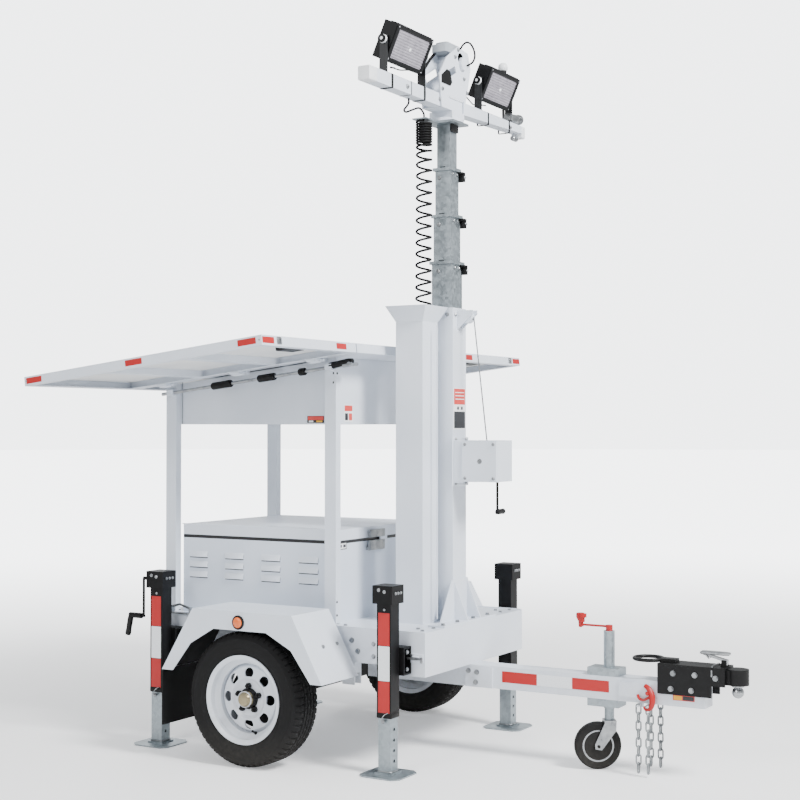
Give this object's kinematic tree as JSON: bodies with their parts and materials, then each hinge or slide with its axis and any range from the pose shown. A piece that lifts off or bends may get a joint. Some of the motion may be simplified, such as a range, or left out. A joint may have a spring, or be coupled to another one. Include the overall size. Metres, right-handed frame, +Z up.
{
  "type": "mobile solar light tower trailer",
  "caption": "Single-axle trailer with a battery cabinet, folding solar roof, telescopic mast with tilting floodlights, drop-leg jacks and a ball coupler.",
  "frame": {"origin": "on the ground under the centre of the whole object's box, on the trailer's centre line", "axes": "+X towards the hitch, +Y to the trailer's left, +Z up"},
  "size_m": [2.9262, 2.394, 3.2604],
  "materials": {
    "white_paint": "gloss white powder coat",
    "black_paint": "satin black powder coat",
    "galvanised": "hot-dip galvanised",
    "steel": "machined steel",
    "tyre_rubber": "moulded tyre rubber",
    "black_rubber": "matte rubber",
    "lens_plastic": "clear coloured lens",
    "battery_plastic": "moulded case",
    "solar_panel": "glass over dark cells in an aluminium frame",
    "red_plastic": "moulded red grip",
    "cast_black": "black coated casting",
    "lamp_metal": "black die cast aluminium"
  },
  "bodies": {
    "root": {"axle": "black_paint", "leaf_springs": "black_paint", "chassis_frame": "white_paint", "front_beam": "white_paint", "deck": "white_paint", "drawbar": "white_paint", "splice_plates": "white_paint", "fasteners": "steel", "fenders": "white_paint", "mud_flaps": "black_rubber", "road_lights": "lens_plastic", "jack_tubes": "black_paint", "jack_caps": "black_paint", "jack_brackets": "black_paint", "cabinet": "white_paint", "batteries": "battery_plastic", "posts": "white_paint", "shroud": "white_paint", "centre_module": "solar_panel", "mast_base": "white_paint", "mast_shoe": "white_paint", "cable_column": "white_paint", "winch_housing": "galvanised", "winch_rope": "steel", "curly_cord": "black_rubber", "jockey_post": "galvanised", "coupler_body": "cast_black", "coupler_eye": "cast_black", "tow_ball": "steel", "safety_chains": "galvanised"},
    "wheel_left": {"tyre_left": "tyre_rubber", "rim_left": "white_paint"},
    "wheel_right": {"tyre_right": "tyre_rubber", "rim_right": "white_paint"},
    "jack_leg_front_left": {"leg_front_left": "galvanised"},
    "jack_leg_front_right": {"leg_front_right": "galvanised"},
    "jack_leg_rear_left": {"leg_rear_left": "galvanised"},
    "jack_leg_rear_right": {"leg_rear_right": "galvanised"},
    "jack_handle": {"jack_crank": "steel"},
    "lid": {"cabinet_lid": "white_paint"},
    "roof_wing_left": {"wing_left": "solar_panel"},
    "roof_wing_right": {"wing_right": "solar_panel"},
    "lock_left": {"lock_rod_left": "steel"},
    "lock_right": {"lock_rod_right": "steel"},
    "mast_1": {"mast_section_1": "galvanised"},
    "mast_2": {"mast_section_2": "galvanised"},
    "mast_3": {"mast_section_3": "galvanised"},
    "mast_4": {"mast_section_4": "galvanised"},
    "lamp_head": {"head_frame": "white_paint", "crossbar": "white_paint", "lamp_leads": "black_rubber"},
    "floodlight_left": {"lamp_left": "lamp_metal"},
    "floodlight_right": {"lamp_right": "lamp_metal"},
    "drum": {"winch_drum": "steel"},
    "winch_handle": {"winch_crank": "black_paint"},
    "jockey_slider": {"jockey_leg": "galvanised"},
    "jockey_handle": {"jockey_crank": "red_plastic"},
    "jockey_caster": {"jockey_fork": "galvanised"},
    "jockey_roller": {"jockey_wheel": "black_rubber"},
    "latch": {"coupler_latch": "galvanised"}
  },
  "joints": [
    {"name": "wheel_left_spin", "type": "hinge", "parent": "root", "child": "wheel_left", "pos_m": [-0.54192, 0.725, 0.297], "axis": [0, 1, 0], "continuous": true},
    {"name": "wheel_right_spin", "type": "hinge", "parent": "root", "child": "wheel_right", "pos_m": [-0.54192, -0.725, 0.297], "axis": [0, 1, 0], "continuous": true},
    {"name": "jack_front_left", "type": "slide", "parent": "root", "child": "jack_leg_front_left", "axis": [0, 0, 1], "range_m": [-0.12, 0.15]},
    {"name": "jack_front_right", "type": "slide", "parent": "root", "child": "jack_leg_front_right", "axis": [0, 0, 1], "range_m": [-0.12, 0.15]},
    {"name": "jack_rear_left", "type": "slide", "parent": "root", "child": "jack_leg_rear_left", "axis": [0, 0, 1], "range_m": [-0.12, 0.15]},
    {"name": "jack_rear_right", "type": "slide", "parent": "root", "child": "jack_leg_rear_right", "axis": [0, 0, 1], "range_m": [-0.12, 0.15]},
    {"name": "jack_handle_turn", "type": "hinge", "parent": "root", "child": "jack_handle", "pos_m": [-1.23092, -0.583, 0.771], "axis": [1, 0, 0], "continuous": true},
    {"name": "lid_open", "type": "hinge", "parent": "root", "child": "lid", "pos_m": [-1.20692, 0, 0.972], "axis": [0, -1, 0], "range_deg": [0, 30]},
    {"name": "wing_left_fold", "type": "hinge", "parent": "root", "child": "roof_wing_left", "pos_m": [-0.15888, 0.476, 1.81206], "axis": [-0.9934, 0, -0.1149], "range_deg": [0, 88]},
    {"name": "wing_right_fold", "type": "hinge", "parent": "root", "child": "roof_wing_right", "pos_m": [-0.15888, -0.476, 1.81206], "axis": [0.9934, 0, 0.1149], "range_deg": [0, 88]},
    {"name": "lock_left_pull", "type": "slide", "parent": "root", "child": "lock_left", "axis": [0.9934, 0, 0.1149], "range_m": [0, 0.045]},
    {"name": "lock_right_pull", "type": "slide", "parent": "root", "child": "lock_right", "axis": [0.9934, 0, 0.1149], "range_m": [0, 0.045]},
    {"name": "mast_raise", "type": "slide", "parent": "root", "child": "mast_4", "axis": [0, 0, 1], "range_m": [0, 4.4], "deforming": ["curly_cord"]},
    {"name": "mast_stage_1", "type": "slide", "parent": "root", "child": "mast_1", "axis": [0, 0, 1], "range_m": [0, 1.1]},
    {"name": "mast_stage_2", "type": "slide", "parent": "root", "child": "mast_2", "axis": [0, 0, 1], "range_m": [0, 2.2]},
    {"name": "mast_stage_3", "type": "slide", "parent": "root", "child": "mast_3", "axis": [0, 0, 1], "range_m": [0, 3.3]},
    {"name": "head_pan", "type": "hinge", "parent": "mast_4", "child": "lamp_head", "pos_m": [0.03808, 0, 2.9084], "axis": [0, 0, 1], "range_deg": [-170, 170]},
    {"name": "floodlight_left_tilt", "type": "hinge", "parent": "lamp_head", "child": "floodlight_left", "pos_m": [0.06208, 0.445, 3.1614], "axis": [0, 1, 0], "range_deg": [-60, 30]},
    {"name": "floodlight_right_tilt", "type": "hinge", "parent": "lamp_head", "child": "floodlight_right", "pos_m": [0.06208, -0.445, 3.1614], "axis": [0, 1, 0], "range_deg": [-60, 30]},
    {"name": "winch_handle_turn", "type": "hinge", "parent": "root", "child": "winch_handle", "pos_m": [0.24908, 0, 1.333], "axis": [0, 1, 0], "continuous": true},
    {"name": "drum_turn", "type": "hinge", "parent": "root", "child": "drum", "pos_m": [0.24908, 0, 1.333], "axis": [0, 1, 0], "continuous": true},
    {"name": "jockey_lift", "type": "slide", "parent": "root", "child": "jockey_slider", "axis": [0, 0, 1], "range_m": [-0.1, 0]},
    {"name": "jockey_handle_turn", "type": "hinge", "parent": "root", "child": "jockey_handle", "pos_m": [0.84308, 0, 0.6], "axis": [0, 0, 1], "continuous": true},
    {"name": "jockey_swivel", "type": "hinge", "parent": "jockey_slider", "child": "jockey_caster", "pos_m": [0.84308, 0, 0.21], "axis": [0, 0, 1], "continuous": true},
    {"name": "jockey_roll", "type": "hinge", "parent": "jockey_caster", "child": "jockey_roller", "pos_m": [0.79898, -0.02756, 0.102], "axis": [-0.5299, 0.848, 0], "continuous": true},
    {"name": "latch_lift", "type": "hinge", "parent": "root", "child": "latch", "pos_m": [1.36108, 0, 0.504], "axis": [0, 1, 0], "range_deg": [0, 55]}
  ],
  "couplings": [
    {"joint": "mast_stage_1", "follows": "mast_raise", "ratio": 0.25},
    {"joint": "mast_stage_2", "follows": "mast_raise", "ratio": 0.5},
    {"joint": "mast_stage_3", "follows": "mast_raise", "ratio": 0.75},
    {"joint": "drum_turn", "follows": "winch_handle_turn", "ratio": 0.25}
  ]
}
